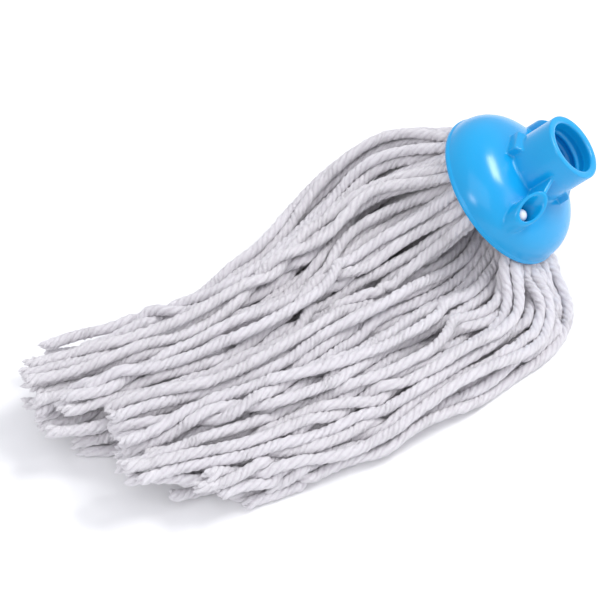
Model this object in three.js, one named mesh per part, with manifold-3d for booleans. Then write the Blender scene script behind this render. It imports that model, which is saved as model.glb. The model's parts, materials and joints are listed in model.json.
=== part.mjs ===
import * as THREE from 'three';
import { mergeVertices } from 'three/addons/utils/BufferGeometryUtils.js';
import Module from 'manifold-3d';

// String mop head, in millimetres, +Z up, lying on the floor at z = 0.
// The socket leans back on its yarn, and the yarn sweeps away over the floor.

// Socket bell, along its own axis: z = 0 at the rim, the neck's mouth at the top.
const LEAN = THREE.MathUtils.degToRad(44); // between the socket's axis and the vertical
const TURN = THREE.MathUtils.degToRad(-4); // of the socket about its own axis
const RIM_HEIGHT = 44; // rim centre above the floor
const RIM_R = 35.5;
const LIP_HEIGHT = 1.8;
const LIP_STEP = 0.5;
const DOME_HEIGHT = 21.5;
const DOME_FULLNESS = 2.6; // 2 is an ellipse; more is squarer
const WALL = 2.3;
const NECK_R = 15;
const NECK_TOP = 42;
const NECK_EDGE = 0.7; // rounding of the mouth's edges
const BORE_R = 11.5;
const BORE_FLOOR = 16.3;
const HUB_R = 14;
const HUB_BOTTOM = 13.8;
const THREAD_PITCH = 4.2;
const THREAD_TURNS = 4;
const THREAD_R = 1.15; // round ridge, its centre line just inside the wall
const THREAD_CENTRE_R = 11.7;
const THREAD_FIRST = 4.4; // from the mouth to the first ridge

// Two boss tubes hold the pegs; a fin joins each to the neck; two blocks stand between them.
const BOSS_AT = 28.4;
const BOSS_R = 5.5;
const BOSS_HOLE_R = 4;
const BOSS_LOW = { r: 33.9, z: 16.8 }; // the slanted mouth's outer and inner ends
const BOSS_HIGH = { r: 22.9, z: 30.4 };
const FIN_THICK = 1.8;
const FIN_TOP = 33;
const BLOCK_WIDTH = 11.5;
const BLOCK_OUT = 17.6;
const BLOCK_TOP = 27.5;
const BLOCK_SLANT = 2.5;

// Retainer bar with its two pegs.
const BAR_HALF_LENGTH = 31.6;
const BAR_R = 9; // half the bar's width, and the radius of its round ends
const BAR_LOW = 2;
const BAR_THICK = 4;
const PEG_R = 2.8;
const PEG_TOP = 19.4;

// Clearances between touching pieces.
const GAP = 0.4;
const FOLD_HALF_WIDTH = 22.8; // the fold of the yarn lies between the pegs

// Yarn: locks of three strings each. In the bell's mouth they stand in rows on both sides of the
// bar; over the floor they lie in columns, from the far side of the bundle to the near side.
const MOUTH_ROWS = [4, 7, 8, 8, 7, 4];
const MOUTH_PITCH = 6.7;
const MOUTH_INNER_ROW = 13.4; // from the bar's centre line to the first row beside it
const COLUMN_SIZES = [2, 3, 4, 3, 4, 3, 4, 3, 4, 3, 3, 2];
const COLUMN_LEVEL = 9; // between two locks on each other
const ROLL = THREE.MathUtils.degToRad(62); // the lower side of the mouth feeds the near side
const LOCK_LENGTH = 220;
const NEAR_SHORTER = 6; // the near side's locks end sooner by up to this much
const LOCK_RAGGED = 5; // the cut ends are uneven by this much
const LOCK_SIDES = 6;
const LOCK_RADII = [2.8, 4.0, 3.8]; // at the bell, along the bundle, at the cut end
const FULL_AT = 60; // from the bell to the lock's full thickness
const FIRST_RINGS = [0, 4, 9, 14, 19, 25, 32, 39, 47, 56, 66]; // then evenly to the cut end
const RING_STEP = 12.5;
const LINE_STEP = 4; // between the points of a lock's centre line
const SETTLE_ROUNDS = 100;
const SOFTEN = 0.22; // how far each bend straightens in each round
const SHARPEST = 1.8; // least distance between the two neighbours of a point, in steps
const SINK = 0.06; // how far the yarn drops in each round
const LOCK_GAP = 0.7; // kept between two locks' surfaces while they settle
const MOUTH_CLEAR = 2; // between the bell's mouth and the locks
const OUT_OF_BELL = new THREE.Vector3(-Math.sin(LEAN), 0, -Math.cos(LEAN));

// Sections across the bundle, from the bell to past the cut ends: the far edge, the middle and
// the near edge at half the bundle's thickness, the way its thickness rises, and how far the
// locks have gone from their order in the mouth (0) to the columns (1).
const SECTIONS = [
  { far: [-33, 29, 69], middle: [-11, -8, 31], near: [31, -6, 9], rise: [-0.3, -0.75, 0.6], laid: 0.2 },
  { far: [-51, 36, 57], middle: [-22, -19, 24], near: [46, -17, 14], rise: [-0.2, -0.4, 0.85], laid: 0.5 },
  { far: [-68, 21, 42], middle: [-35, -32, 19], near: [30, -42, 10], rise: [-0.1, -0.2, 0.95], laid: 0.8 },
  { far: [-84, -2, 29], middle: [-49, -53, 18], near: [8, -73, 10], rise: [0, 0, 1], laid: 1 },
  { far: [-104, -35, 20], middle: [-68, -80, 18], near: [-20, -100, 13], rise: [0, 0, 1], laid: 1 },
  { far: [-127, -64, 18], middle: [-94, -105, 18], near: [-52, -128, 15], rise: [0, 0, 1], laid: 1 },
  { far: [-155, -90, 18], middle: [-126, -126, 18], near: [-89, -152, 15], rise: [0, 0, 1], laid: 1 },
  { far: [-189, -111, 18], middle: [-163, -143, 18], near: [-133, -169, 16], rise: [0, 0, 1], laid: 1 },
  { far: [-226, -132, 18], middle: [-202, -162, 18], near: [-174, -188, 16], rise: [0, 0, 1], laid: 1 },
];

const blue = new THREE.MeshStandardMaterial({ color: 0x2fa8ee, roughness: 0.25, metalness: 0 });
const white = new THREE.MeshStandardMaterial({ color: 0xe8ebf2, roughness: 0.4, metalness: 0 });
const cotton = new THREE.MeshStandardMaterial({ color: 0xe6e2ea, roughness: 0.95, metalness: 0 });

const wasm = await Module();
wasm.setup();

// A closed three.js geometry as a solid that can be joined and cut.
function solid(geometry) {
  const bare = geometry.clone();
  bare.deleteAttribute('normal');
  bare.deleteAttribute('uv');
  const merged = mergeVertices(bare, 1e-4);
  const corners = merged.index.array;
  const kept = [];
  for (let i = 0; i < corners.length; i += 3) {
    const [a, b, c] = [corners[i], corners[i + 1], corners[i + 2]];
    if (a !== b && b !== c && c !== a) kept.push(a, b, c);
  }
  return new wasm.Manifold(new wasm.Mesh({
    numProp: 3,
    vertProperties: new Float32Array(merged.attributes.position.array),
    triVerts: new Uint32Array(kept),
  }));
}

function geometryOf(body) {
  const mesh = body.getMesh();
  const geometry = new THREE.BufferGeometry();
  geometry.setAttribute('position', new THREE.BufferAttribute(mesh.vertProperties, 3));
  geometry.setIndex(new THREE.BufferAttribute(mesh.triVerts, 1));
  geometry.computeVertexNormals();
  return geometry;
}

// A lathe about Z: the profile is a list of [radius, z] that starts and ends on the axis.
function turned(profile, segments) {
  const lathe = new THREE.LatheGeometry(profile.map(([r, z]) => new THREE.Vector2(r, z)), segments);
  return solid(lathe.rotateX(Math.PI / 2));
}

function cylinder(radius, low, high, segments, x = 0, y = 0) {
  const geometry = new THREE.CylinderGeometry(radius, radius, high - low, segments);
  return solid(geometry.rotateX(Math.PI / 2).translate(x, y, (low + high) / 2));
}

function box(low, high) {
  const size = high.map((value, k) => value - low[k]);
  const middle = high.map((value, k) => (value + low[k]) / 2);
  return solid(new THREE.BoxGeometry(...size).translate(...middle));
}

// A flat outline in the (radius, z) half plane, given a thickness across it, at the +Y side.
function slab(outline, thickness) {
  const shape = new THREE.Shape(outline.map(([r, z]) => new THREE.Vector2(r, z)));
  const geometry = new THREE.ExtrudeGeometry(shape, { depth: thickness, bevelEnabled: false });
  geometry.translate(0, 0, -thickness / 2);
  // Outline x becomes +Y, outline y becomes +Z, the thickness lies along X.
  const turn = new THREE.Matrix4().makeBasis(
    new THREE.Vector3(0, 1, 0), new THREE.Vector3(0, 0, 1), new THREE.Vector3(1, 0, 0));
  return solid(geometry.applyMatrix4(turn));
}

// The dome's profile from the rim up: a full, rounded arc that ends on the axis.
function domeArc(radius, height, from, steps) {
  const power = 2 / DOME_FULLNESS;
  const start = Math.asin((from / height) ** (1 / power));
  const points = [];
  for (let k = 0; k <= steps; k += 1) {
    const angle = start + (Math.PI / 2 - start) * (k / steps);
    points.push([k === steps ? 0 : radius * Math.cos(angle) ** power, height * Math.sin(angle) ** power]);
  }
  return points;
}

function domeOutside() {
  const inner = RIM_R - LIP_STEP;
  const arc = domeArc(inner, DOME_HEIGHT, LIP_HEIGHT, 16);
  return turned([[0, 0], [RIM_R, 0], [RIM_R, LIP_HEIGHT], ...arc], 48);
}

function domeInside(offset) {
  const arc = domeArc(RIM_R - WALL - offset, DOME_HEIGHT - WALL - offset, 0.5, 14);
  return turned([[0, -5], [arc[0][0], -5], ...arc], 48);
}

function neck() {
  const profile = [
    [0, 12], [NECK_R, 12], [NECK_R, NECK_TOP - NECK_EDGE], [NECK_R - NECK_EDGE, NECK_TOP], [0, NECK_TOP],
  ];
  return turned(profile, 48);
}

function bore() {
  const profile = [
    [0, BORE_FLOOR], [BORE_R, BORE_FLOOR], [BORE_R, NECK_TOP - NECK_EDGE],
    [BORE_R + NECK_EDGE, NECK_TOP], [BORE_R + NECK_EDGE, NECK_TOP + 1], [0, NECK_TOP + 1],
  ];
  return turned(profile, 48);
}

// Right-handed helix for the thread's ridge, from near the mouth downwards.
class Helix extends THREE.Curve {
  getPoint(t, target = new THREE.Vector3()) {
    const angle = t * THREAD_TURNS * 2 * Math.PI;
    const z = NECK_TOP - THREAD_FIRST - t * THREAD_TURNS * THREAD_PITCH;
    return target.set(THREAD_CENTRE_R * Math.cos(angle), -THREAD_CENTRE_R * Math.sin(angle), z);
  }
}

function thread() {
  const section = new THREE.Shape();
  section.absarc(0, 0, THREAD_R, 0, 2 * Math.PI, false);
  return solid(new THREE.ExtrudeGeometry(section, {
    steps: THREAD_TURNS * 24, curveSegments: 3, extrudePath: new Helix(),
  }));
}

// One boss with its slanted mouth, on the +Y side.
function boss() {
  const slope = (BOSS_HIGH.z - BOSS_LOW.z) / (BOSS_HIGH.r - BOSS_LOW.r);
  const cutAt = (r) => BOSS_LOW.z + slope * (r - BOSS_LOW.r);
  const [inner, outer] = [BOSS_AT - 2 * BOSS_R, BOSS_AT + 2 * BOSS_R];
  const outline = [[inner, 0], [outer, 0], [outer, cutAt(outer)], [inner, cutAt(inner)]];
  return cylinder(BOSS_R, 2, 44, 24, 0, BOSS_AT).intersect(slab(outline, 4 * BOSS_R));
}

// A thin fin from the boss's high end to the neck, on the +Y side.
function fin() {
  const top = [[BOSS_HIGH.r, BOSS_HIGH.z - 1], [NECK_R - 0.5, FIN_TOP]];
  return slab([[12, 14], [BOSS_AT - 1, 14], ...top, [12, FIN_TOP]], FIN_THICK);
}

// A block against the neck on the dome, on the +Y side; it is turned to the +X and -X sides.
function block() {
  const outline = [[12, 14], [BLOCK_OUT, 14], [BLOCK_OUT, BLOCK_TOP - BLOCK_SLANT], [12, BLOCK_TOP]];
  return slab(outline, BLOCK_WIDTH);
}

function socketBell() {
  let shell = domeOutside().add(neck());
  for (const turn of [0, 180]) {
    shell = shell.add(boss().rotate([0, 0, turn])).add(fin().rotate([0, 0, turn]));
    shell = shell.add(block().rotate([0, 0, turn + 90]));
  }
  shell = shell.subtract(domeInside(0)).add(cylinder(HUB_R, HUB_BOTTOM, 20, 48));
  for (const side of [1, -1]) shell = shell.subtract(cylinder(BOSS_HOLE_R, -1, 44, 20, 0, side * BOSS_AT));
  return shell.subtract(bore()).add(thread());
}

// A stadium outline along Y, extruded upwards.
function stadium(halfLength, radius, low, high) {
  const straight = halfLength - radius;
  const shape = new THREE.Shape();
  shape.moveTo(radius, -straight);
  shape.lineTo(radius, straight);
  shape.absarc(0, straight, radius, 0, Math.PI, false);
  shape.lineTo(-radius, -straight);
  shape.absarc(0, -straight, radius, Math.PI, 2 * Math.PI, false);
  const options = { depth: high - low, bevelEnabled: false, curveSegments: 10 };
  return solid(new THREE.ExtrudeGeometry(shape, options).translate(0, 0, low));
}

function peg() {
  const profile = [[0, BAR_LOW + 1], [PEG_R, BAR_LOW + 1]];
  for (let k = 0; k <= 5; k += 1) {
    const angle = (k / 5) * (Math.PI / 2);
    profile.push([k === 5 ? 0 : PEG_R * Math.cos(angle), PEG_TOP - PEG_R + PEG_R * Math.sin(angle)]);
  }
  return turned(profile, 20);
}

function retainerBar() {
  const plate = stadium(BAR_HALF_LENGTH, BAR_R, BAR_LOW, BAR_LOW + BAR_THICK);
  return plate.add(peg().translate([0, BOSS_AT, 0])).add(peg().translate([0, -BOSS_AT, 0]));
}

// The yarn where it goes over the bar: it fills the dome between the two pegs.
function yarnFold() {
  const room = box([-40, -FOLD_HALF_WIDTH, 2 * GAP], [40, FOLD_HALF_WIDTH, 40]);
  const slot = stadium(BAR_HALF_LENGTH + GAP, BAR_R + GAP, -1, BAR_LOW + BAR_THICK + GAP);
  const hub = cylinder(HUB_R + GAP, HUB_BOTTOM - GAP, 40, 48);
  return domeInside(GAP).intersect(room).subtract(slot).subtract(hub);
}

// Each lock's place in the mouth: y along the bar, up across it; then the same place turned by
// ROLL, so that near and top say where the lock goes in the bundle.
function mouthPlaces() {
  const places = [];
  MOUTH_ROWS.forEach((size, row) => {
    for (let k = 0; k < size; k += 1) {
      const level = row - (MOUTH_ROWS.length - 1) / 2;
      const y = MOUTH_PITCH * ((size - 1) / 2 - k);
      const up = Math.sign(level) * (MOUTH_INNER_ROW + MOUTH_PITCH * (Math.abs(level) - 0.5));
      const near = -up * Math.sin(ROLL) - y * Math.cos(ROLL);
      const top = up * Math.cos(ROLL) - y * Math.sin(ROLL);
      places.push({ y, up, near, top });
    }
  });
  return places.sort((p, q) => p.near - q.near);
}

// The locks in their columns over the floor: across runs from -1, far, to 1, near.
function laidLocks() {
  const places = mouthPlaces();
  const locks = [];
  COLUMN_SIZES.forEach((size, column) => {
    const members = places.splice(0, size).sort((p, q) => p.top - q.top);
    members.forEach((mouth, level) => locks.push({
      mouth,
      name: `yarn_lock_c${column + 1}_${level + 1}`,
      across: (2 * column) / (COLUMN_SIZES.length - 1) - 1,
      height: COLUMN_LEVEL * (level - (size - 1) / 2),
    }));
  });
  return locks;
}

// A parabola through three points, at -1, 0 and 1.
function through(far, middle, near, t) {
  return new THREE.Vector3(...middle).multiplyScalar(1 - t * t)
    .addScaledVector(new THREE.Vector3(...near), (t * (t + 1)) / 2)
    .addScaledVector(new THREE.Vector3(...far), (t * (t - 1)) / 2);
}

// A lock's laid-out route: out of the mouth, then through its place in each section.
function lockRoute(lock) {
  const start = new THREE.Vector3(0, lock.mouth.y, RIM_HEIGHT)
    .add(new THREE.Vector3(-Math.cos(LEAN), 0, Math.sin(LEAN)).multiplyScalar(lock.mouth.up))
    .addScaledVector(OUT_OF_BELL, MOUTH_CLEAR);
  const points = [start, start.clone().addScaledVector(OUT_OF_BELL, LINE_STEP)];
  for (const { far, middle, near, rise, laid } of SECTIONS) {
    const across = THREE.MathUtils.lerp(lock.mouth.near / RIM_R, lock.across, laid);
    const height = THREE.MathUtils.lerp(lock.mouth.top / 2, lock.height, laid);
    points.push(through(far, middle, near, across).addScaledVector(new THREE.Vector3(...rise), height));
  }
  return new THREE.CatmullRomCurve3(points, false, 'centripetal');
}

function lockRadius(along) {
  const [start, full, end] = LOCK_RADII;
  if (along < FULL_AT) return THREE.MathUtils.lerp(start, full, along / FULL_AT);
  return THREE.MathUtils.lerp(full, end, (along - FULL_AT) / (LOCK_LENGTH - FULL_AT));
}

// Every lock's centre line, as points one step apart from the bell to the cut end.
function laidLines() {
  return laidLocks().map((lock, index) => {
    const shorter = NEAR_SHORTER * Math.max(0, lock.across);
    const length = LOCK_LENGTH - shorter + LOCK_RAGGED * Math.sin(2.4 * index);
    const count = Math.round(length / LINE_STEP) + 1;
    const route = lockRoute(lock);
    const whole = route.getLength();
    const points = [];
    for (let k = 0; k < count; k += 1) points.push(route.getPointAt((k * LINE_STEP) / whole));
    return { name: lock.name, points };
  });
}

// Moves two points apart until they clear each other.
function part(p, q, clear, pMoves, qMoves) {
  const apart = new THREE.Vector3().subVectors(p, q);
  const distance = apart.length();
  if (distance >= clear || !(pMoves || qMoves)) return;
  apart.multiplyScalar((clear - distance) / (distance * (Number(pMoves) + Number(qMoves))));
  if (pMoves) p.add(apart);
  if (qMoves) q.sub(apart);
}

function separate(lines) {
  for (let i = 0; i < lines.length; i += 1) {
    for (let j = i + 1; j < lines.length; j += 1) {
      lines[i].points.forEach((p, k) => lines[j].points.forEach((q, m) => {
        if (Math.abs(p.x - q.x) > 10 || Math.abs(p.y - q.y) > 10 || Math.abs(p.z - q.z) > 10) return;
        const clear = lockRadius(k * LINE_STEP) + lockRadius(m * LINE_STEP) + LOCK_GAP;
        part(p, q, clear, k > 0, m > 0);
      }));
    }
  }
}

// Keeps a point that has left the mouth from running into the bell's rim.
function clearOfRim(point, radius) {
  const fromRim = point.clone().sub(new THREE.Vector3(0, 0, RIM_HEIGHT));
  const out = fromRim.dot(OUT_OF_BELL);
  const aside = fromRim.addScaledVector(OUT_OF_BELL, -out).length();
  const clear = radius + GAP + 0.3;
  if (out < clear && aside > RIM_R - WALL - clear) point.addScaledVector(OUT_OF_BELL, clear - out);
}

// Keeps a line's steps at their length, its bends soft, and the line above the floor.
function relax(points) {
  for (let k = 1; k < points.length; k += 1) {
    if (k + 1 < points.length) {
      part(points[k - 1], points[k + 1], SHARPEST * LINE_STEP, k > 1, true);
      const middle = new THREE.Vector3().addVectors(points[k - 1], points[k + 1]).multiplyScalar(0.5);
      points[k].lerp(middle, SOFTEN);
    }
    const step = new THREE.Vector3().subVectors(points[k], points[k - 1]);
    points[k].copy(points[k - 1]).addScaledVector(step.normalize(), LINE_STEP);
    clearOfRim(points[k], lockRadius(k * LINE_STEP));
    points[k].z = Math.max(points[k].z - SINK, lockRadius(k * LINE_STEP) + 0.2);
  }
}

function settledLines() {
  const lines = laidLines();
  for (let round = 0; round < SETTLE_ROUNDS; round += 1) {
    lines.forEach(({ points }) => relax(points));
    separate(lines);
    separate(lines);
  }
  return lines;
}

// A closed tube of changing radius along a lock's line.
function lockGeometry(points) {
  const route = new THREE.CatmullRomCurve3(points, false, 'centripetal');
  const whole = (points.length - 1) * LINE_STEP;
  const from = FIRST_RINGS[FIRST_RINGS.length - 1];
  const more = Math.ceil((whole - from) / RING_STEP);
  const places = [...FIRST_RINGS];
  for (let k = 1; k <= more; k += 1) places.push(from + ((whole - from) * k) / more);
  const centres = places.map((at) => route.getPoint(at / whole));
  const line = new THREE.CatmullRomCurve3(centres, false, 'centripetal');
  const positions = [];
  const across = new THREE.Vector3(0, 0, 1);
  centres.forEach((centre, k) => {
    const along = line.getTangent(k / (centres.length - 1));
    const side = new THREE.Vector3().crossVectors(across, along).normalize();
    across.crossVectors(along, side);
    for (let corner = 0; corner < LOCK_SIDES; corner += 1) {
      const angle = (corner / LOCK_SIDES) * 2 * Math.PI;
      const radius = lockRadius(places[k]);
      positions.push(...centre.clone()
        .addScaledVector(side, radius * Math.cos(angle))
        .addScaledVector(across, radius * Math.sin(angle))
        .toArray());
    }
  });
  const indices = [];
  const last = (centres.length - 1) * LOCK_SIDES;
  for (let ring = 0; ring < last; ring += LOCK_SIDES) {
    for (let corner = 0; corner < LOCK_SIDES; corner += 1) {
      const [a, b] = [ring + corner, ring + ((corner + 1) % LOCK_SIDES)];
      indices.push(a, b, b + LOCK_SIDES, a, b + LOCK_SIDES, a + LOCK_SIDES);
    }
  }
  for (let corner = 1; corner < LOCK_SIDES - 1; corner += 1) {
    indices.push(0, corner + 1, corner, last, last + corner, last + corner + 1);
  }
  const geometry = new THREE.BufferGeometry();
  geometry.setAttribute('position', new THREE.Float32BufferAttribute(positions, 3));
  geometry.setIndex(indices);
  geometry.computeVertexNormals();
  return geometry;
}

function piece(name, geometry, material) {
  const mesh = new THREE.Mesh(geometry, material);
  mesh.name = name;
  return mesh;
}

const mop = new THREE.Group();

const head = new THREE.Group();
head.position.set(0, 0, RIM_HEIGHT);
head.rotation.set(0, LEAN, TURN);
head.add(piece('socket_bell', geometryOf(socketBell()), blue));
head.add(piece('retainer_bar', geometryOf(retainerBar()), white));
head.add(piece('yarn_fold', geometryOf(yarnFold()), cotton));
mop.add(head);

for (const { name, points } of settledLines()) mop.add(piece(name, lockGeometry(points), cotton));

// The origin is on the floor, under the middle of the whole head.
const extent = new THREE.Box3().setFromObject(mop, true);
const middle = extent.getCenter(new THREE.Vector3());
mop.position.set(-middle.x, -middle.y, -extent.min.z);

export default mop;
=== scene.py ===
import json
import math

import bpy
import numpy as np
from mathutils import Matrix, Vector

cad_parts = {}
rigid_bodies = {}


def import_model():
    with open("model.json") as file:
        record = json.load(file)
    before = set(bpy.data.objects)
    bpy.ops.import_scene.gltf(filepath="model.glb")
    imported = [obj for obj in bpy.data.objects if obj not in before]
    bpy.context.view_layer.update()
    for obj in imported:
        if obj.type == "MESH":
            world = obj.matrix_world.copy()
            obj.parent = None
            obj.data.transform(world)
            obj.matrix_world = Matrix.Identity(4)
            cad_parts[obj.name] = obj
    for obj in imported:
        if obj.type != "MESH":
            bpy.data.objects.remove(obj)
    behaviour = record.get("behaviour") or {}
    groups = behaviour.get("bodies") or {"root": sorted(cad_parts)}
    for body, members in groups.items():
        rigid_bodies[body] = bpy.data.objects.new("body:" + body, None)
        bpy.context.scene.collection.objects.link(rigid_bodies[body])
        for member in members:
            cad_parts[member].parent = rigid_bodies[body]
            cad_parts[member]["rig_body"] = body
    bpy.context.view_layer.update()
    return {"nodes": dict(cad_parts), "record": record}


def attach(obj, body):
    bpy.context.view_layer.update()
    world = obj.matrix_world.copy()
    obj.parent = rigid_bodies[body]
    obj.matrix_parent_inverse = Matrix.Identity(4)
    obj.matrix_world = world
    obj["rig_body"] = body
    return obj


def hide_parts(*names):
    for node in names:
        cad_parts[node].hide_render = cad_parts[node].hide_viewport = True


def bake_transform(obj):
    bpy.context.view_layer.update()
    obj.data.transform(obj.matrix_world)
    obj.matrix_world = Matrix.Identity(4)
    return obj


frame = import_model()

# Sizes below are in millimetres; MM turns them into the frame's metres.
MM = 0.001

# The socket bell, along its own axis: z = 0 at the rim, the neck's mouth at the top.
RIM_R = 35.5
LIP_HEIGHT = 1.8
LIP_STEP = 0.5
DOME_HEIGHT = 21.5
DOME_FULLNESS = 2.6  # 2 is an ellipse; more is squarer
WALL = 2.3
NECK_R = 15
NECK_FROM = 12
NECK_TOP = 42
NECK_EDGE = 0.7
BORE_R = 11.5
BORE_FLOOR = 16.3
HUB_R = 14
HUB_BOTTOM = 13.8
HUB_TOP = 20
THREAD_PITCH = 4.2
THREAD_TURNS = 4
THREAD_R = 1.15
THREAD_CENTRE_R = 11.7
THREAD_FIRST = 4.4  # from the mouth down to the first turn
THREAD_FADE = 5  # how fast the ridge thickens from its two ends, for each turn
THREAD_ROOT = 1.2  # how far the ridge reaches into the bore's wall
BOSS_AT = 28.4
BOSS_R = 5.5
BOSS_HOLE_R = 4
BOSS_LOW = (33.9, 16.8)  # the slanted mouth's outer and inner ends: radius, z
BOSS_HIGH = (22.9, 30.4)
BOSS_FROM = 2
FIN_THICK = 1.8
FIN_TOP = 33
FIN_BELOW_BOSS = 1
FIN_IN_NECK = 0.5
BLOCK_WIDTH = 11.5
BLOCK_OUT = 17.6
BLOCK_TOP = 27.5
BLOCK_SLANT = 2.5
ROOT_OUT = 12  # the fins and blocks start here, inside the neck
ROOT_Z = 14  # and here, inside the dome
BELL_VOXEL = 0.45
FILLET = 0.7

# Roundings of the bell's edges.
CRISP = 0.4
PLAIN = 0.5
SOFT = 0.6
ROUND = 0.8
BOSS_MOUTH = 0.9

# The retainer bar and its two pegs.
BAR_HALF_LENGTH = 31.6
BAR_R = 9
BAR_LOW = 2
BAR_THICK = 4
PEG_R = 2.8
PEG_FROM = BAR_LOW + 1
PEG_TOP = 19.4
PEG_SIDES = 48
BAR_EDGE = 0.8

# The strings where they go over the bar.
FOLD_LAYERS = ((9.4, 12.5), (4.6, 18.5))  # rise, and half the width
FOLD_STEP = 4.9
FOLD_HALF_LENGTH = 20.5
FOLD_LOW = 1.2
FOLD_UNDER_HUB = 3.4

# Yarn: every lock of the frame is three strings, each of four plies.
MOUTH_CLEAR = 2  # from the mouth to where the frame's locks start
STRINGS_PER_LOCK = 3
LOCK_SIDES = 6  # of the frame's tube for a lock
STRING_D = 5.0
PLIES = 4
PLY_R = 1.62
PLY_OFF = 0.87  # from the string's middle to a ply's middle
LAY = 15.5  # one turn of the plies
INSIDE = 11  # of each string inside the bell
GATHER = 0.84  # how far out a string's inner end is, of its place at the mouth
STEP = 4.0  # between the points of a string while it settles
RING_STEP = 1.5
RING_POINTS = 24
SETTLE_ROUNDS = 70
PAIRS_EVERY = 7  # rounds between searches for strings that are near each other
PAIRS_REACH = 4  # how far beyond touching the search looks
PUSHES = 3  # in each round
OVERSHOOT = 1.3  # of each push
PACKED = 0.96  # how close settled strings may lie, of their diameter
RIM_CLEAR = 0.3  # between the settled yarn and the bell's rim
FLOOR_CLEAR = 0.2
SINK = 0.02  # how far the yarn drops in each round
SOFTEN = 0.05  # how far each bend straightens in each round
BULGE = 6.0  # of the yarn, outwards, just past the bell's rim
NAP = 0.07  # unevenness of the cotton's surface
FIBRES = 170  # on each string
MOUTH_SPREAD = 1.7  # from a lock's middle to its strings, at the mouth
LAID_SPREAD = 2.9
CUT = (-11, 3)  # how much longer than its lock a string is
WIND = 2.2  # the most that a lock's strings wind round each other, in radians
WAVES = ((150, 5.5), (80, 3.0), (42, 1.2))  # of a string as it lies: length, height
UPWARD_WAVES = 0.6  # of the sideways ones
TWIST_WAVES = ((70, 0.9), (31, 0.45), (13, 0.2))  # of the plies' lay: length, radians
SIZE_WAVES = ((23, 0.03), (9, 0.03), (4.1, 0.025))  # of a string's thickness: length, share
LUMPS = ((11, 0.10), (6.5, 0.08), (3.7, 0.06))  # that run round a string: length, height
FLOOR_GAP = 0.05  # between the yarn's lowest fibres and the floor
PLACE_ALONG = 0.22  # how fast the cotton's streaks change along a string
PLACE_ROUND = 2.6  # and round it
END_TAPER = 3.0
PLY_END = 11.0  # the length over which the cut end's plies are separate
PLY_SIDES = 8
PLY_PLACE_ROUND = 1.3
FIBRE_LENGTH = (0.3, 0.95)  # of each of a fibre's two halves
FIBRE_THICK = (0.055, 0.045, 0.015)  # radius at its root, bend and tip
FIBRE_SIDES = 3
SEED = 7

mount = frame["record"]["mounts"][0]
BELL_Z = np.array(mount["axis"], float)
MOUNT_OUT = 13.25  # from the bell's axis to the mount's point, on the neck's end face
MOUTH = np.array(mount["pos_m"]) / MM - BELL_Z * NECK_TOP - np.array([0, MOUNT_OUT, 0])
TURN = math.radians(-4)  # of the bell about its own axis
DOWNHILL = np.array([BELL_Z[2], 0, -BELL_Z[0]])
BELL_X = DOWNHILL * math.cos(TURN) + np.array([0, math.sin(TURN), 0])
BELL_Y = np.cross(BELL_Z, BELL_X)


def to_row(points):
    """Points in the bell's own frame as points in the row's frame, both in millimetres."""
    return MOUTH + points[..., 0:1] * BELL_X + points[..., 1:2] * BELL_Y + points[..., 2:3] * BELL_Z


def to_bell(points):
    """The other way round: from the row's frame to the bell's own."""
    from_mouth = points - MOUTH
    return np.stack([from_mouth @ BELL_X, from_mouth @ BELL_Y, from_mouth @ BELL_Z], axis=-1)


def unit(vectors):
    return vectors / np.maximum(np.linalg.norm(vectors, axis=-1, keepdims=True), 1e-9)


# ---------------------------------------------------------------- camera

CAMERA_AZIMUTH = math.radians(9.3)
CAMERA_ELEVATION = math.radians(45)
CAMERA_DISTANCE = 950
CAMERA_LENS = 130.4
AIM_LEFT = 87.84  # from the rim's centre to the middle of the picture
AIM_DOWN = 47.27


def add_camera():
    right = Vector((math.cos(CAMERA_AZIMUTH), math.sin(CAMERA_AZIMUTH), 0))
    back = Vector((
        math.sin(CAMERA_AZIMUTH) * math.cos(CAMERA_ELEVATION),
        -math.cos(CAMERA_AZIMUTH) * math.cos(CAMERA_ELEVATION),
        math.sin(CAMERA_ELEVATION),
    ))
    up = back.cross(right)
    aim = Vector(MOUTH) - right * AIM_LEFT - up * AIM_DOWN
    data = bpy.data.cameras.new("camera")
    data.lens = CAMERA_LENS
    data.clip_start, data.clip_end = 0.01, 20
    camera = bpy.data.objects.new("camera", data)
    camera.rotation_mode = "QUATERNION"
    camera.rotation_quaternion = (-back).to_track_quat("-Z", "Y")
    camera.location = (aim + back * CAMERA_DISTANCE) * MM
    bpy.context.scene.collection.objects.link(camera)
    bpy.context.scene.camera = camera


# ---------------------------------------------------------------- meshes

def mesh_object(name, points, faces, material):
    """An object from points in millimetres."""
    mesh = bpy.data.meshes.new(name)
    mesh.from_pydata((np.asarray(points) * MM).tolist(), [], faces)
    mesh.polygons.foreach_set("use_smooth", [True] * len(mesh.polygons))
    mesh.materials.append(material)
    mesh.update()
    obj = bpy.data.objects.new(name, mesh)
    bpy.context.scene.collection.objects.link(obj)
    return obj


def tube_faces(rings, around, first=0):
    """Quads between rings of points, and a cap at both ends."""
    faces = []
    for ring in range(rings - 1):
        low = first + ring * around
        for k in range(around):
            after = (k + 1) % around
            faces.append((low + k, low + after, low + around + after, low + around + k))
    last = first + (rings - 1) * around
    faces.append(tuple(first + k for k in reversed(range(around))))
    faces.append(tuple(last + k for k in range(around)))
    return faces


def add_attribute(obj, name, kind, values):
    attribute = obj.data.attributes.new(name, kind, "POINT")
    field = "vector" if kind == "FLOAT_VECTOR" else "value"
    attribute.data.foreach_set(field, np.asarray(values, np.float32).ravel())


# ---------------------------------------------------------------- materials

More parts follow.
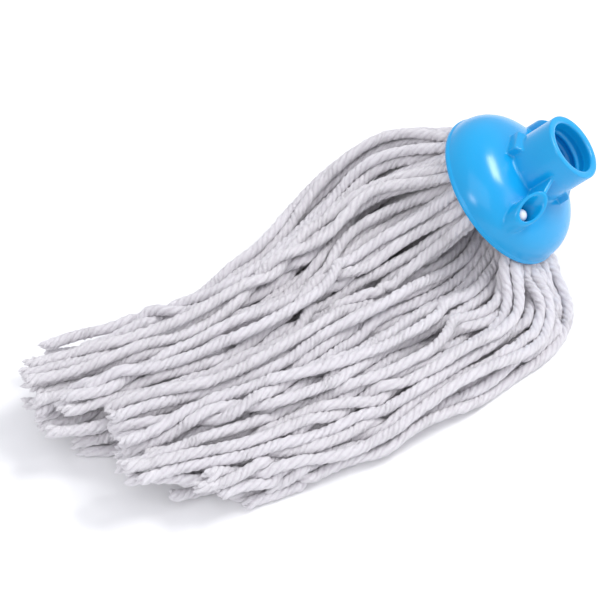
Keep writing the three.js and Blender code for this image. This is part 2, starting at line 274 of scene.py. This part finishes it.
# Each is a pair of colours that a noise mixes.
BLUE = ((0.003, 0.32, 0.68), (0.004, 0.35, 0.72))
WHITE = ((0.74, 0.76, 0.82), (0.80, 0.82, 0.87))
FIRST_COTTON = ((0.735, 0.705, 0.75), (0.885, 0.86, 0.895))
SECOND_COTTON = ((0.70, 0.67, 0.705), (0.86, 0.835, 0.86))
# Painted shade: the darker cotton that the ply grooves take, standing in for the shade that falls in
# them.
GROOVE_SHADE_COTTON = ((0.55, 0.495, 0.56), (0.70, 0.645, 0.71))
PAPER = ((0.925, 0.925, 0.935), (0.945, 0.945, 0.95))


def new_material(name):
    material = bpy.data.materials.new(name)
    material.use_nodes = True
    tree = material.node_tree
    return material, tree, tree.nodes["Principled BSDF"]


def add_node(tree, kind, **settings):
    node = tree.nodes.new(kind)
    for key, value in settings.items():
        if hasattr(node, key):
            setattr(node, key, value)
        else:
            node.inputs[key].default_value = value
    return node


def noise_node(tree, place, scale, detail, roughness=0.55):
    noise = add_node(tree, "ShaderNodeTexNoise", Scale=scale, Detail=detail, Roughness=roughness)
    tree.links.new(place, noise.inputs["Vector"])
    return noise.outputs["Fac"]


def ramp_node(tree, value, low, high, colours):
    """A ramp from the first colour, at low, to the second, at high."""
    ramp = tree.nodes.new("ShaderNodeValToRGB")
    for element, place, colour in zip(ramp.color_ramp.elements, (low, high), colours):
        element.position = place
        element.color = (*colour, 1)
    tree.links.new(value, ramp.inputs["Fac"])
    return ramp.outputs["Color"]


def bump_node(tree, height, distance, strength, normal=None):
    bump = add_node(tree, "ShaderNodeBump", Distance=distance, Strength=strength)
    tree.links.new(height, bump.inputs["Height"])
    if normal is not None:
        tree.links.new(normal, bump.inputs["Normal"])
    return bump.outputs["Normal"]


def map_range(tree, value, low, high):
    node = tree.nodes.new("ShaderNodeMapRange")
    node.inputs["To Min"].default_value = low
    node.inputs["To Max"].default_value = high
    tree.links.new(value, node.inputs["Value"])
    return node.outputs["Result"]


def mix_colours(tree, factor, first, second):
    mix = tree.nodes.new("ShaderNodeMix")
    mix.data_type = "RGBA"
    tree.links.new(factor, mix.inputs["Factor"])
    tree.links.new(first, mix.inputs[6])
    tree.links.new(second, mix.inputs[7])
    return mix.outputs[2]


def plastic_material(name, colours, roughness):
    """Moulded plastic: a slight flow in its colour, and a faint unevenness in its gloss."""
    material, tree, shader = new_material(name)
    place = tree.nodes.new("ShaderNodeTexCoord").outputs["Object"]
    flow = noise_node(tree, place, 38, 2)
    tree.links.new(ramp_node(tree, flow, 0.3, 0.7, colours), shader.inputs["Base Color"])
    haze = noise_node(tree, place, 160, 4)
    rough = map_range(tree, haze, roughness * 0.75, roughness * 1.35)
    tree.links.new(rough, shader.inputs["Roughness"])
    waves = noise_node(tree, place, 90, 2)
    grain = noise_node(tree, place, 2200, 2)
    normal = bump_node(tree, waves, 0.00005, 0.25)
    tree.links.new(bump_node(tree, grain, 0.00001, 0.25, normal), shader.inputs["Normal"])
    shader.inputs["IOR"].default_value = 1.49
    return material


def cotton_material():
    """Soft twisted cotton: streaks of fibre along each ply, and shade painted darker towards the
    grooves.
    """
    material, tree, shader = new_material("cotton")
    yarn = add_node(tree, "ShaderNodeAttribute", attribute_name="yarn_place").outputs["Vector"]
    groove = add_node(tree, "ShaderNodeAttribute", attribute_name="groove").outputs["Fac"]
    tone = add_node(tree, "ShaderNodeAttribute", attribute_name="tone").outputs["Fac"]
    place = tree.nodes.new("ShaderNodeTexCoord").outputs["Object"]
    streaks = noise_node(tree, yarn, 3.4, 6, 0.68)
    first = ramp_node(tree, streaks, 0.25, 0.6, FIRST_COTTON)
    second = ramp_node(tree, streaks, 0.25, 0.6, SECOND_COTTON)
    toned = mix_colours(tree, tone, first, second)
    # Painted shade: darkens the cotton towards the grooves between the plies, by their depth.
    painted_groove_shade = ramp_node(tree, streaks, 0.2, 0.8, GROOVE_SHADE_COTTON)
    tree.links.new(mix_colours(tree, groove, toned, painted_groove_shade), shader.inputs["Base Color"])
    fuzz = noise_node(tree, place, 1700, 4, 0.65)
    clumps = noise_node(tree, place, 520, 3, 0.6)
    normal = bump_node(tree, streaks, 0.0005, 0.9)
    normal = bump_node(tree, clumps, 0.0011, 0.6, normal)
    tree.links.new(bump_node(tree, fuzz, 0.0005, 0.8, normal), shader.inputs["Normal"])
    tree.links.new(map_range(tree, streaks, 0.9, 1.0), shader.inputs["Roughness"])
    shader.inputs["Sheen Weight"].default_value = 0.5
    shader.inputs["Sheen Roughness"].default_value = 0.7
    shader.inputs["Specular IOR Level"].default_value = 0.02
    return material


def floor_material():
    material, tree, shader = new_material("studio_floor")
    place = tree.nodes.new("ShaderNodeTexCoord").outputs["Object"]
    cloud = noise_node(tree, place, 1.4, 3)
    tree.links.new(ramp_node(tree, cloud, 0.3, 0.7, PAPER), shader.inputs["Base Color"])
    shader.inputs["Roughness"].default_value = 0.9
    shader.inputs["Specular IOR Level"].default_value = 0.1
    return material


# ---------------------------------------------------------------- the socket bell

def smooth_min(a, b, size):
    """The lesser of two distances, with a rounded joint of this size where they meet."""
    blend = np.maximum(size - np.abs(a - b), 0) / size
    return np.minimum(a, b) - blend * blend * size / 4


def smooth_max(a, b, size):
    return -smooth_min(-a, -b, size)


def full_dome(p, radius, height):
    """Distance, nearly, to a rounded dome that is squarer than an ellipsoid."""
    out = np.maximum(np.hypot(p[:, 0], p[:, 1]) / radius, 1e-4)
    up = np.maximum(np.abs(p[:, 2]) / height, 1e-4)
    near = (out ** DOME_FULLNESS + up ** DOME_FULLNESS) ** (1 / DOME_FULLNESS)
    steep = np.hypot(
        (out / near) ** (DOME_FULLNESS - 1) / radius, (up / near) ** (DOME_FULLNESS - 1) / height)
    return (near - 1) / np.maximum(steep, 1e-6)


def disc(p, radius, low, high, edge):
    """A cylinder about z with rounded edges."""
    side = np.hypot(p[:, 0], p[:, 1]) - radius + edge
    end = np.abs(p[:, 2] - (low + high) / 2) - (high - low) / 2 + edge
    outside = np.hypot(np.maximum(side, 0), np.maximum(end, 0))
    return np.minimum(np.maximum(side, end), 0) + outside - edge


def above_line(r, z, first, second):
    """Distance above the line from one (r, z) point to another; negative below it."""
    (r0, z0), (r1, z1) = first, second
    length = math.hypot(r1 - r0, z1 - z0)
    return ((z - z0) * (r1 - r0) - (r - r0) * (z1 - z0)) / length


def boss_field(p):
    side = np.hypot(p[:, 0], np.abs(p[:, 1]) - BOSS_AT) - BOSS_R
    outer, inner = (-BOSS_LOW[0], BOSS_LOW[1]), (-BOSS_HIGH[0], BOSS_HIGH[1])
    top = above_line(-np.abs(p[:, 1]), p[:, 2], outer, inner)
    return smooth_max(smooth_max(side, top, BOSS_MOUTH), BOSS_FROM - p[:, 2], PLAIN)


def fin_field(p):
    out = np.abs(p[:, 1])
    outer = (-BOSS_HIGH[0], BOSS_HIGH[1] - FIN_BELOW_BOSS)
    top = above_line(-out, p[:, 2], outer, (-NECK_R + FIN_IN_NECK, FIN_TOP))
    field = smooth_max(np.abs(p[:, 0]) - FIN_THICK / 2, top, SOFT)
    ends = np.maximum(ROOT_OUT - out, np.maximum(out - BOSS_AT, ROOT_Z - p[:, 2]))
    return smooth_max(field, ends, CRISP)


def block_field(p):
    out = np.abs(p[:, 0])
    outer = (-BLOCK_OUT, BLOCK_TOP - BLOCK_SLANT)
    top = above_line(-out, p[:, 2], outer, (-ROOT_OUT, BLOCK_TOP))
    field = smooth_max(np.abs(p[:, 1]) - BLOCK_WIDTH / 2, out - BLOCK_OUT, PLAIN)
    ends = np.maximum(ROOT_OUT - out, ROOT_Z - p[:, 2])
    return smooth_max(smooth_max(field, top, PLAIN), ends, CRISP)


def thread_field(p):
    """A round ridge on a right-handed helix, thinner at its two ends."""
    turns = -np.arctan2(p[:, 1], p[:, 0]) / (2 * math.pi)
    along = (NECK_TOP - THREAD_FIRST - p[:, 2]) / THREAD_PITCH
    whole = np.round(along - turns)
    at = np.clip(whole + turns, 0, THREAD_TURNS)
    ridge = THREAD_R * np.clip(np.minimum(at, THREAD_TURNS - at) * THREAD_FADE, 0.05, 1) ** 0.5
    up = p[:, 2] - (NECK_TOP - THREAD_FIRST - at * THREAD_PITCH)
    return np.hypot(np.hypot(p[:, 0], p[:, 1]) - THREAD_CENTRE_R, up) - ridge


def bell_field(p):
    """Signed distance, nearly, to the bell's surface: negative in the plastic."""
    radius = np.hypot(p[:, 0], p[:, 1])
    dome = smooth_max(full_dome(p, RIM_R - LIP_STEP, DOME_HEIGHT), -p[:, 2], CRISP)
    field = smooth_min(dome, disc(p, RIM_R, 0, LIP_HEIGHT, CRISP), CRISP)
    field = smooth_min(field, disc(p, NECK_R, NECK_FROM, NECK_TOP, NECK_EDGE), 1.4 * FILLET)
    for addition in (boss_field(p), fin_field(p), block_field(p)):
        field = smooth_min(field, addition, FILLET)
    inner = full_dome(p, RIM_R - WALL, DOME_HEIGHT - WALL)
    inside = np.minimum(inner, np.maximum(radius - RIM_R + WALL, p[:, 2]))
    field = smooth_max(field, -inside, SOFT)
    field = smooth_min(field, disc(p, HUB_R, HUB_BOTTOM, HUB_TOP, PLAIN), ROUND)
    hole = np.hypot(p[:, 0], np.abs(p[:, 1]) - BOSS_AT) - BOSS_HOLE_R
    field = smooth_max(field, -hole, ROUND)
    bore = smooth_max(radius - BORE_R, BORE_FLOOR - p[:, 2], SOFT)
    field = smooth_max(field, -bore, 2 * NECK_EDGE)
    ridges = np.maximum(thread_field(p), radius - BORE_R - THREAD_ROOT)
    return smooth_min(field, ridges, PLAIN)


def onto_surface(p, steps):
    """Moves points to where the bell's field is zero."""
    small, furthest, flattest = 0.02, 0.5, 0.2
    for _ in range(steps):
        value = bell_field(p)
        rises = [bell_field(p + small * axis) - value for axis in np.eye(3)]
        slope = np.stack(rises, axis=1) / small
        steep = np.maximum((slope ** 2).sum(1, keepdims=True), flattest)
        p = p - np.clip(value, -furthest, furthest)[:, None] * slope / steep
    return p


def add_bell(material):
    """The socket, remeshed finely from the CAD node and laid on its smooth field."""
    bell = bpy.data.objects.new("bell_shell", frame["nodes"]["socket_bell"].data.copy())
    bpy.context.scene.collection.objects.link(bell)
    mesh = bell.data
    coords = np.empty(len(mesh.vertices) * 3)
    mesh.vertices.foreach_get("co", coords)
    mesh.vertices.foreach_set("co", to_bell(coords.reshape(-1, 3) / MM).ravel())
    modifier = bell.modifiers.new("remesh", "REMESH")
    modifier.mode = "VOXEL"
    modifier.voxel_size = BELL_VOXEL * 1
    fine = bpy.data.meshes.new_from_object(bell.evaluated_get(bpy.context.evaluated_depsgraph_get()))
    bell.modifiers.clear()
    bell.data = fine
    coords = np.empty(len(fine.vertices) * 3)
    fine.vertices.foreach_get("co", coords)
    ends = np.empty(len(fine.edges) * 2, int)
    fine.edges.foreach_get("vertices", ends)
    points = onto_surface(coords.reshape(-1, 3), 3)
    for _ in range(3):
        points = onto_surface(evened(points, ends.reshape(-1, 2)), 2)
    fine.vertices.foreach_set("co", (to_row(points) * MM).ravel())
    fine.polygons.foreach_set("use_smooth", [True] * len(fine.polygons))
    fine.materials.clear()
    fine.materials.append(material)
    fine.update()
    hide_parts("socket_bell")
    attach(bell, "head")


def evened(points, edges):
    """Each point halfway to the middle of its neighbours."""
    total = np.zeros_like(points)
    count = np.zeros(len(points))
    for a, b in ((0, 1), (1, 0)):
        np.add.at(total, edges[:, a], points[edges[:, b]])
        np.add.at(count, edges[:, a], 1)
    return (points + total / np.maximum(count, 1)[:, None]) / 2


# ---------------------------------------------------------------- the retainer bar

def turned_mesh(profile, around):
    """Points and faces of a lathe about z from (radius, z) pairs, capped at both ends."""
    angles = np.arange(around) * 2 * math.pi / around
    points = [(r * math.cos(a), r * math.sin(a), z) for r, z in profile for a in angles]
    return np.array(points), tube_faces(len(profile), around)


def add_bar(material):
    """The bar's plate with rounded edges, and its two pegs with rounded tips."""
    corner = [(math.cos(a) - 1, math.sin(a)) for a in np.linspace(0, math.pi / 2, 5)]
    top = BAR_LOW + BAR_THICK
    sides = [(BAR_EDGE * r, BAR_LOW + BAR_EDGE - BAR_EDGE * z) for r, z in reversed(corner)]
    sides += [(BAR_EDGE * r, top - BAR_EDGE + BAR_EDGE * z) for r, z in corner]
    turn = np.linspace(0, math.pi, 25)
    straight = BAR_HALF_LENGTH - BAR_R
    points = []
    for inset, z in sides:
        radius = BAR_R + inset
        points += [(radius * math.cos(a), straight + radius * math.sin(a), z) for a in turn]
        points += [(-radius * math.cos(a), -straight - radius * math.sin(a), z) for a in turn]
    points = np.array(points)
    faces = tube_faces(len(sides), 2 * len(turn))
    peg_profile = [(PEG_R, PEG_FROM)]
    peg_profile += [
        (max(PEG_R * math.cos(a), 0.05), PEG_TOP - PEG_R + PEG_R * math.sin(a))
        for a in np.linspace(0, math.pi / 2, 9)
    ]
    peg_points, peg_faces = turned_mesh(peg_profile, PEG_SIDES)
    for side in (1, -1):
        faces += [tuple(len(points) + k for k in face) for face in peg_faces]
        points = np.concatenate([points, peg_points + [0, side * BOSS_AT, 0]])
    bar = mesh_object("bar_with_pegs", to_row(points), faces, material)
    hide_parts("retainer_bar")
    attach(bar, "head")


# ---------------------------------------------------------------- yarn: where the strings lie

def lock_line(node):
    """The middle of each ring of a lock's tube, from the bell to its cut end."""
    mesh = frame["nodes"][node].data
    coords = np.array([vertex.co for vertex in mesh.vertices]) / MM
    corners, index = np.unique(np.round(coords, 3), axis=0, return_inverse=True)
    index = index.ravel()
    joined = [set() for _ in corners]
    for edge in mesh.edges:
        a, b = index[edge.vertices[0]], index[edge.vertices[1]]
        joined[a].add(b)
        joined[b].add(a)
    ring = set(np.argsort(-(corners - MOUTH) @ BELL_Z)[:LOCK_SIDES].tolist())
    seen, middles = set(ring), []
    while ring:
        middles.append(corners[sorted(ring)].mean(0))
        ring = {near for one in ring for near in joined[one]} - seen
        seen |= ring
    return np.array(middles)


def resampled(points, step):
    """Points a step apart along a smooth curve through the given points."""
    padded = np.concatenate([[2 * points[0] - points[1]], points, [2 * points[-1] - points[-2]]])
    t = np.linspace(0, 1, 9)[:-1, None]
    fine = []
    for a, b, c, d in zip(padded, padded[1:], padded[2:], padded[3:]):
        fine.append(0.5 * (2 * b + (c - a) * t + (2 * a - 5 * b + 4 * c - d) * t ** 2
                           + (3 * b - a - 3 * c + d) * t ** 3))
    fine = np.concatenate([*fine, points[-1:]])
    along = np.concatenate([[0], np.cumsum(np.linalg.norm(np.diff(fine, axis=0), axis=1))])
    places = np.linspace(0, along[-1], max(2, int(round(along[-1] / step)) + 1))
    return interpolated(places, along, fine)


def interpolated(places, along, points):
    return np.stack([np.interp(places, along, points[:, k]) for k in range(3)], axis=1)


def frames_along(points):
    """Tangents, and two directions across them that turn as little as they can."""
    tangents = unit(np.gradient(points, axis=0))
    side = np.cross([0, 0, 1.0], tangents[0])
    if np.linalg.norm(side) < 0.1:
        side = np.cross([0, 1.0, 0], tangents[0])
    sides = [side / np.linalg.norm(side)]
    for tangent in tangents[1:]:
        side = sides[-1] - tangent * (sides[-1] @ tangent)
        sides.append(side / np.linalg.norm(side))
    sides = np.array(sides)
    return tangents, sides, np.cross(tangents, sides)


def smoothstep(value, low, high):
    t = np.clip((value - low) / (high - low), 0, 1)
    return t * t * (3 - 2 * t)


def lay_strings(random):
    """Every string's points before it settles: three to a lock, from inside the bell outwards."""
    strings = []
    for node in sorted(name for name in frame["nodes"] if name.startswith("yarn_lock")):
        line = lock_line(node)
        body = frame["nodes"][node]["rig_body"]
        start = line[0]
        in_bell = to_bell(start)
        inner = to_row(np.array([in_bell[0] * GATHER, in_bell[1] * GATHER, INSIDE - MOUTH_CLEAR]))
        middle = resampled(np.concatenate([[inner, (inner + start) / 2], line]), STEP)
        _, sides, ups = frames_along(middle)
        along = np.arange(len(middle)) * STEP - INSIDE
        turn = random.uniform(0, 2 * math.pi)
        wind = random.uniform(-1, 1) * WIND * smoothstep(along, 10, 220)
        for k in range(STRINGS_PER_LOCK):
            angle = turn + wind + k * 2 * math.pi / STRINGS_PER_LOCK
            spread = MOUTH_SPREAD + (LAID_SPREAD - MOUTH_SPREAD) * smoothstep(along, 0, 60)
            waves = wander(random, along) * smoothstep(along, 15, 90)[:, None]
            points = middle + sides * (spread * np.cos(angle) + waves[:, 0])[:, None]
            points = points + ups * (spread * np.sin(angle) + waves[:, 1])[:, None]
            points = points + bulge(points, along)
            count = len(middle) + int(round(random.uniform(*CUT) / STEP))
            points = points[:count]
            strings.append({"lock": node, "body": body, "number": k, "points": points})
    return strings


def wander(random, along):
    """Sideways and upward waves of a string, so that strings lie across each other a little."""
    waves = np.zeros((len(along), 2))
    for length, height in WAVES:
        for axis, share in ((0, 1.0), (1, UPWARD_WAVES)):
            phase = random.uniform(0, 2 * math.pi)
            waves[:, axis] += share * height * random.uniform(0.4, 1) * np.sin(
                along * 2 * math.pi / length + phase)
    return waves


def bulge(points, along):
    """How the yarn crowds outwards, away from the bell's axis, where it leaves the rim."""
    local = to_bell(points)
    aside = np.hypot(local[:, 0], local[:, 1])[:, None]
    out = (local[:, 0:1] * BELL_X + local[:, 1:2] * BELL_Y) / np.maximum(aside, 1)
    size = BULGE * smoothstep(along, -2, 18) * (1 - smoothstep(along, 30, 75))
    return out * size[:, None] * np.clip(aside / RIM_R, 0, 1) ** 2


def near_pairs(points, owner, reach):
    """Pairs of points of different strings that are closer than reach."""
    firsts, seconds = [], []
    squares = (points ** 2).sum(1)
    block = 800
    for low in range(0, len(points), block):
        rows = points[low:low + block]
        apart = squares[low:low + block, None] + squares[None, low:] - 2 * rows @ points[low:].T
        a, b = np.nonzero(apart < reach * reach)
        a, b = a + low, b + low
        keep = (b > a) & (owner[a] != owner[b])
        firsts.append(a[keep])
        seconds.append(b[keep])
    return np.concatenate(firsts), np.concatenate(seconds)


def settle(strings):
    """Lets the strings push each other apart and sink onto the floor, at their own lengths."""
    sizes = [len(string["points"]) for string in strings]
    owner = np.repeat(np.arange(len(strings)), sizes)
    points = np.concatenate([string["points"] for string in strings])
    order = np.concatenate([np.arange(size) for size in sizes])
    held = order * STEP <= INSIDE
    has_next = np.concatenate([np.arange(size) < size - 1 for size in sizes])
    links = np.nonzero(has_next)[0]
    free = ~held
    inner = np.nonzero((order > 0) & has_next & free)[0]
    clear = STRING_D * PACKED
    rounds = SETTLE_ROUNDS
    for step in range(rounds):
        if step % PAIRS_EVERY == 0:
            a, b = near_pairs(points, owner, clear + PAIRS_REACH)
        points[free, 2] -= SINK
        middle = (points[inner - 1] + points[inner + 1]) / 2
        points[inner] += SOFTEN * (middle - points[inner])
        for _ in range(PUSHES):
            push_apart(points, a, b, clear, held)
            keep_steps(points, links, free)
        points[free, 2] = np.maximum(points[free, 2], STRING_D / 2 + FLOOR_CLEAR)
        clear_of_rim(points, free)
    start = 0
    for string, size in zip(strings, sizes):
        string["points"] = points[start:start + size].copy()
        start += size


def push_apart(points, a, b, clear, held):
    """Moves the near pairs of points that are closer than clear away from each other."""
    gap = points[a] - points[b]
    distance = np.linalg.norm(gap, axis=1)
    close = distance < clear
    a, b, gap, distance = a[close], b[close], gap[close], distance[close]
    share = 0.5 * (clear - distance) / np.maximum(distance, 0.05)
    move = gap * share[:, None]
    total = np.zeros_like(points)
    count = np.zeros(len(points))
    np.add.at(total, a, move)
    np.add.at(total, b, -move)
    np.add.at(count, a, 1)
    np.add.at(count, b, 1)
    total[held] = 0
    points += total / np.maximum(count, 1)[:, None] * OVERSHOOT


def keep_steps(points, links, free):
    """Brings each point and the next one back to a step apart."""
    gap = points[links + 1] - points[links]
    length = np.linalg.norm(gap, axis=1)
    move = gap * (0.5 * (length - STEP) / np.maximum(length, 0.1))[:, None]
    points[links] += move * free[links][:, None]
    points[links + 1] -= move * free[links + 1][:, None]


def clear_of_rim(points, free):
    """Keeps yarn outside the bell from running into its rim."""
    local = to_bell(points)
    aside = np.hypot(local[:, 0], local[:, 1])
    lowest = -(STRING_D / 2 + RIM_CLEAR)
    hits = free & (local[:, 2] > lowest) & (aside > RIM_R - WALL - STRING_D / 2)
    hits &= local[:, 2] < ROOT_Z
    points[hits] -= BELL_Z * (local[hits, 2] - lowest)[:, None]


# ---------------------------------------------------------------- yarn: the strings' shape

def ply_outline():
    """Radius round a string: the outside of its plies, and how deep in a groove each point is."""
    angles = np.arange(RING_POINTS) * 2 * math.pi / RING_POINTS
    from_ply = (angles + math.pi / PLIES) % (2 * math.pi / PLIES) - math.pi / PLIES
    radius = PLY_OFF * np.cos(from_ply) + np.sqrt(PLY_R ** 2 - (PLY_OFF * np.sin(from_ply)) ** 2)
    groove = (radius.max() - radius) / (radius.max() - radius.min())
    return angles, radius, groove


def string_mesh(points, random):
    """One string: four twisted plies as one surface, split ply ends, and loose fibres."""
    centres = resampled(points, RING_STEP * (1))
    tangents, sides, ups = frames_along(centres)
    step = np.linalg.norm(np.diff(centres, axis=0), axis=1).mean()
    along = np.arange(len(centres)) * step
    angles, radius, groove = ply_outline()
    first_turn = random.uniform(0, 2 * math.pi)
    twist = first_turn - 2 * math.pi * along / LAY
    twist = twist + uneven(random, along, TWIST_WAVES)
    size = 0.98 + uneven(random, along, SIZE_WAVES)
    from_end = along[-1] - along
    size = size * np.sqrt(np.clip(from_end / END_TAPER, 0.002, 1))
    spin = twist[:, None] + angles[None, :]
    reach = size[:, None] * radius[None, :]
    for k, (length, height) in enumerate(LUMPS):
        lumps = (k + 2) * angles[None, :] + 2 * math.pi * along[:, None] / length
        reach = reach + height * np.sin(lumps + random.uniform(0, 2 * math.pi)) * size[:, None]
    reach = reach + random.normal(0, NAP, reach.shape) * size[:, None]
    across = np.cos(spin)[..., None] * sides[:, None] + np.sin(spin)[..., None] * ups[:, None]
    surface = centres[:, None] + reach[..., None] * across
    place = np.stack([
        np.broadcast_to(along[:, None] * PLACE_ALONG, spin.shape),
        np.broadcast_to(PLACE_ROUND * np.cos(angles), spin.shape) + first_turn,
        np.broadcast_to(PLACE_ROUND * np.sin(angles), spin.shape),
    ], axis=-1)
    parts = [(
        surface.reshape(-1, 3), tube_faces(len(centres), RING_POINTS),
        place.reshape(-1, 3), np.tile(groove, len(centres)),
    )]
    parts += ply_ends(centres, tangents, sides, ups, twist, along, random)
    parts.append(fibres(surface, centres, tangents, random))
    return joined_parts(parts), centres


def uneven(random, along, waves):
    """A sum of waves (length, height) with random phases."""
    total = np.zeros(len(along))
    for length, height in waves:
        total += height * np.sin(2 * math.pi * along / length + random.uniform(0, 2 * math.pi))
    return total


def ply_ends(centres, tangents, sides, ups, twist, along, random):
    """The last few millimetres of each ply, parted from the others and rounded off."""
    parts = []
    for ply in range(PLIES):
        reach = random.uniform(-1.5, 2.0)
        places = np.linspace(along[-1] - PLY_END, along[-1] + reach, 9)
        inside = np.minimum(places, along[-1])
        centre = interpolated(inside, along, centres) + tangents[-1] * (places - inside)[:, None]
        angle = np.interp(inside, along, twist) + ply * 2 * math.pi / PLIES
        apart = smoothstep(places, along[-1] - 10, along[-1] + 2)
        off = PLY_OFF * 0.95 + random.uniform(0.4, 2.0) * apart
        across = np.cos(angle)[:, None] * sides[-1] + np.sin(angle)[:, None] * ups[-1]
        line = centre + across * off[:, None]
        left = places[-1] - places
        thick = PLY_R * (0.95 - 0.3 * apart) * np.sqrt(np.clip(left / 1.8, 0.01, 1))
        _, u, v = frames_along(line)
        ring, circle = circles(u, v, PLY_SIDES)
        surface = line[:, None] + thick[:, None, None] * circle
        place = np.stack([
            np.broadcast_to(places[:, None] * PLACE_ALONG, surface.shape[:2]),
            np.broadcast_to(PLY_PLACE_ROUND * np.cos(ring) + ply * 5, surface.shape[:2]),
            np.broadcast_to(PLY_PLACE_ROUND * np.sin(ring), surface.shape[:2]),
        ], axis=-1)
        parts.append((
            surface.reshape(-1, 3), tube_faces(len(line), PLY_SIDES),
            place.reshape(-1, 3), np.zeros(surface.shape[0] * PLY_SIDES),
        ))
    return parts


def circles(u, v, sides):
    """Angles round a ring, and unit circles in the planes of the directions u and v."""
    ring = np.arange(sides) * 2 * math.pi / sides
    return ring, np.cos(ring)[None, :, None] * u[:, None] + np.sin(ring)[None, :, None] * v[:, None]


def fibres(surface, centres, tangents, random):
    """Short loose fibres that stand off the yarn: three-sided, thin, and bent."""
    rings = random.integers(2, len(centres) - 2, FIBRES)
    rings[: FIBRES // 8] = len(centres) - 1 - random.integers(1, 4, FIBRES // 8)
    points = random.integers(0, surface.shape[1], FIBRES)
    root = surface[rings, points]
    out = unit(root - centres[rings])
    stray = random.normal(0, 0.5, (FIBRES, 3))
    along = tangents[rings] * random.choice([-1.0, 1.0], FIBRES)[:, None]
    first = unit(out * 0.7 + along * random.uniform(0.2, 1.2, FIBRES)[:, None] + stray)
    second = unit(first + random.normal(0, 0.7, (FIBRES, 3)) + out * 0.1)
    length = random.uniform(*FIBRE_LENGTH, FIBRES)[:, None]
    bend, tip = root + first * length, root + (first + second) * length
    line = np.stack([root - out * 0.15, bend, tip], axis=1)
    u = unit(np.cross(first, [0.3, 0.5, 0.8]))
    v = np.cross(first, u)
    _, circle = circles(u, v, FIBRE_SIDES)
    thick = np.array(FIBRE_THICK)
    tube = line[:, :, None] + thick[None, :, None, None] * circle[:, None]
    faces = []
    for fibre in range(FIBRES):
        faces += tube_faces(len(FIBRE_THICK), FIBRE_SIDES, fibre * len(FIBRE_THICK) * FIBRE_SIDES)
    flat = tube.reshape(-1, 3)
    return flat, faces, flat * 0.2, np.zeros(len(flat))


def joined_parts(parts):
    points, faces, place, groove = [], [], [], []
    first = 0
    for part_points, part_faces, part_place, part_groove in parts:
        points.append(part_points)
        faces += [tuple(first + k for k in face) for face in part_faces] if first else part_faces
        place.append(part_place)
        groove.append(part_groove)
        first += len(part_points)
    return np.concatenate(points), faces, np.concatenate(place), np.concatenate(groove)


def add_yarn_object(name, mesh, material, tone):
    points, faces, place, groove = mesh
    points[:, 2] = np.maximum(points[:, 2], FLOOR_GAP)
    obj = mesh_object(name, points, faces, material)
    add_attribute(obj, "yarn_place", "FLOAT_VECTOR", place)
    # Each point's depth in a groove, which sets how much painted shade it takes.
    add_attribute(obj, "groove", "FLOAT", groove ** 1.5 * 0.5)
    add_attribute(obj, "tone", "FLOAT", np.full(len(points), tone))
    return obj


def add_strings(strings, material, random):
    for string in strings:
        mesh, centres = string_mesh(string["points"], random)
        label = string["lock"].replace("yarn_lock_", "")
        name = f"yarn_string_{label}_{string['number'] + 1}"
        obj = add_yarn_object(name, mesh, material, random.uniform(0, 1))
        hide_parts(string["lock"])
        if string["body"] == "head":
            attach(obj, "head")
        else:
            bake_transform(obj)


def add_fold(material, random):
    """The strings where they go over the bar: side by side, each a short arch in the dome."""
    meshes = []
    for layer, (rise, wide) in enumerate(FOLD_LAYERS):
        for k in range(-4, 5):
            y = (k + 0.5 * layer) * FOLD_STEP
            if abs(y) > FOLD_HALF_LENGTH:
                continue
            turn = np.linspace(-0.16 * math.pi, 1.16 * math.pi, 15)
            arch = np.stack([
                wide * np.cos(turn),
                y + 0.5 * np.sin(3 * turn + k),
                FOLD_LOW + rise * np.sin(turn),
            ], axis=1)
            if layer == 0:
                arch[:, 2] = np.minimum(arch[:, 2], HUB_BOTTOM - FOLD_UNDER_HUB)
            mesh, _ = string_mesh(to_row(arch), random)
            meshes.append(mesh)
    fold = add_yarn_object("yarn_over_bar", joined_parts(meshes), material, 0.5)
    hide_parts("yarn_fold")
    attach(fold, "head")


# ---------------------------------------------------------------- studio

FLOOR_HALF = 4.0  # metres

# Name, direction from the middle, distance, size in metres, and watts.
SOFTBOXES = (
    ("overhead", (0.50, 0.28, 0.80), 1.3, (0.50, 0.30), 7.5),
    ("front_fill", (-0.20, -0.60, 0.8), 1.8, (1.6, 1.4), 6),
    ("left_fill", (-0.52, -0.72, 0.46), 1.5, (0.34, 0.24), 2.5),
    ("side_fill", (0.9, -0.1, 0.5), 1.6, (0.8, 0.8), 3),
)


def add_floor():
    mesh = bpy.data.meshes.new("floor")
    signs = ((-1, -1), (1, -1), (1, 1), (-1, 1))
    corners = [(x * FLOOR_HALF, y * FLOOR_HALF, 0) for x, y in signs]
    mesh.from_pydata(corners, [], [(0, 1, 2, 3)])
    mesh.materials.append(floor_material())
    floor = bpy.data.objects.new("floor", mesh)
    bpy.context.scene.collection.objects.link(floor)


def add_softbox(name, direction, distance, size, power):
    data = bpy.data.lights.new(name, "AREA")
    data.shape = "RECTANGLE"
    data.size, data.size_y = size
    data.energy = power
    light = bpy.data.objects.new(name, data)
    towards = Vector(direction).normalized()
    light.location = towards * distance
    light.rotation_mode = "QUATERNION"
    light.rotation_quaternion = towards.to_track_quat("Z", "Y")
    bpy.context.scene.collection.objects.link(light)


def add_studio():
    add_floor()
    for softbox in SOFTBOXES:
        add_softbox(*softbox)
    world = bpy.data.worlds.new("studio")
    world.use_nodes = True
    background = world.node_tree.nodes["Background"]
    background.inputs["Color"].default_value = (0.93, 0.94, 1.0, 1)
    background.inputs["Strength"].default_value = 0.78
    bpy.context.scene.world = world
    bpy.context.scene.view_settings.view_transform = "Standard"


# ---------------------------------------------------------------- the whole scene

add_camera()
random = np.random.default_rng(SEED)
cotton = cotton_material()
strings = lay_strings(random)
settle(strings)
add_strings(strings, cotton, random)
add_fold(cotton, random)
add_bell(plastic_material("socket_plastic", BLUE, 0.2))
add_bar(plastic_material("bar_plastic", WHITE, 0.35))
add_studio()
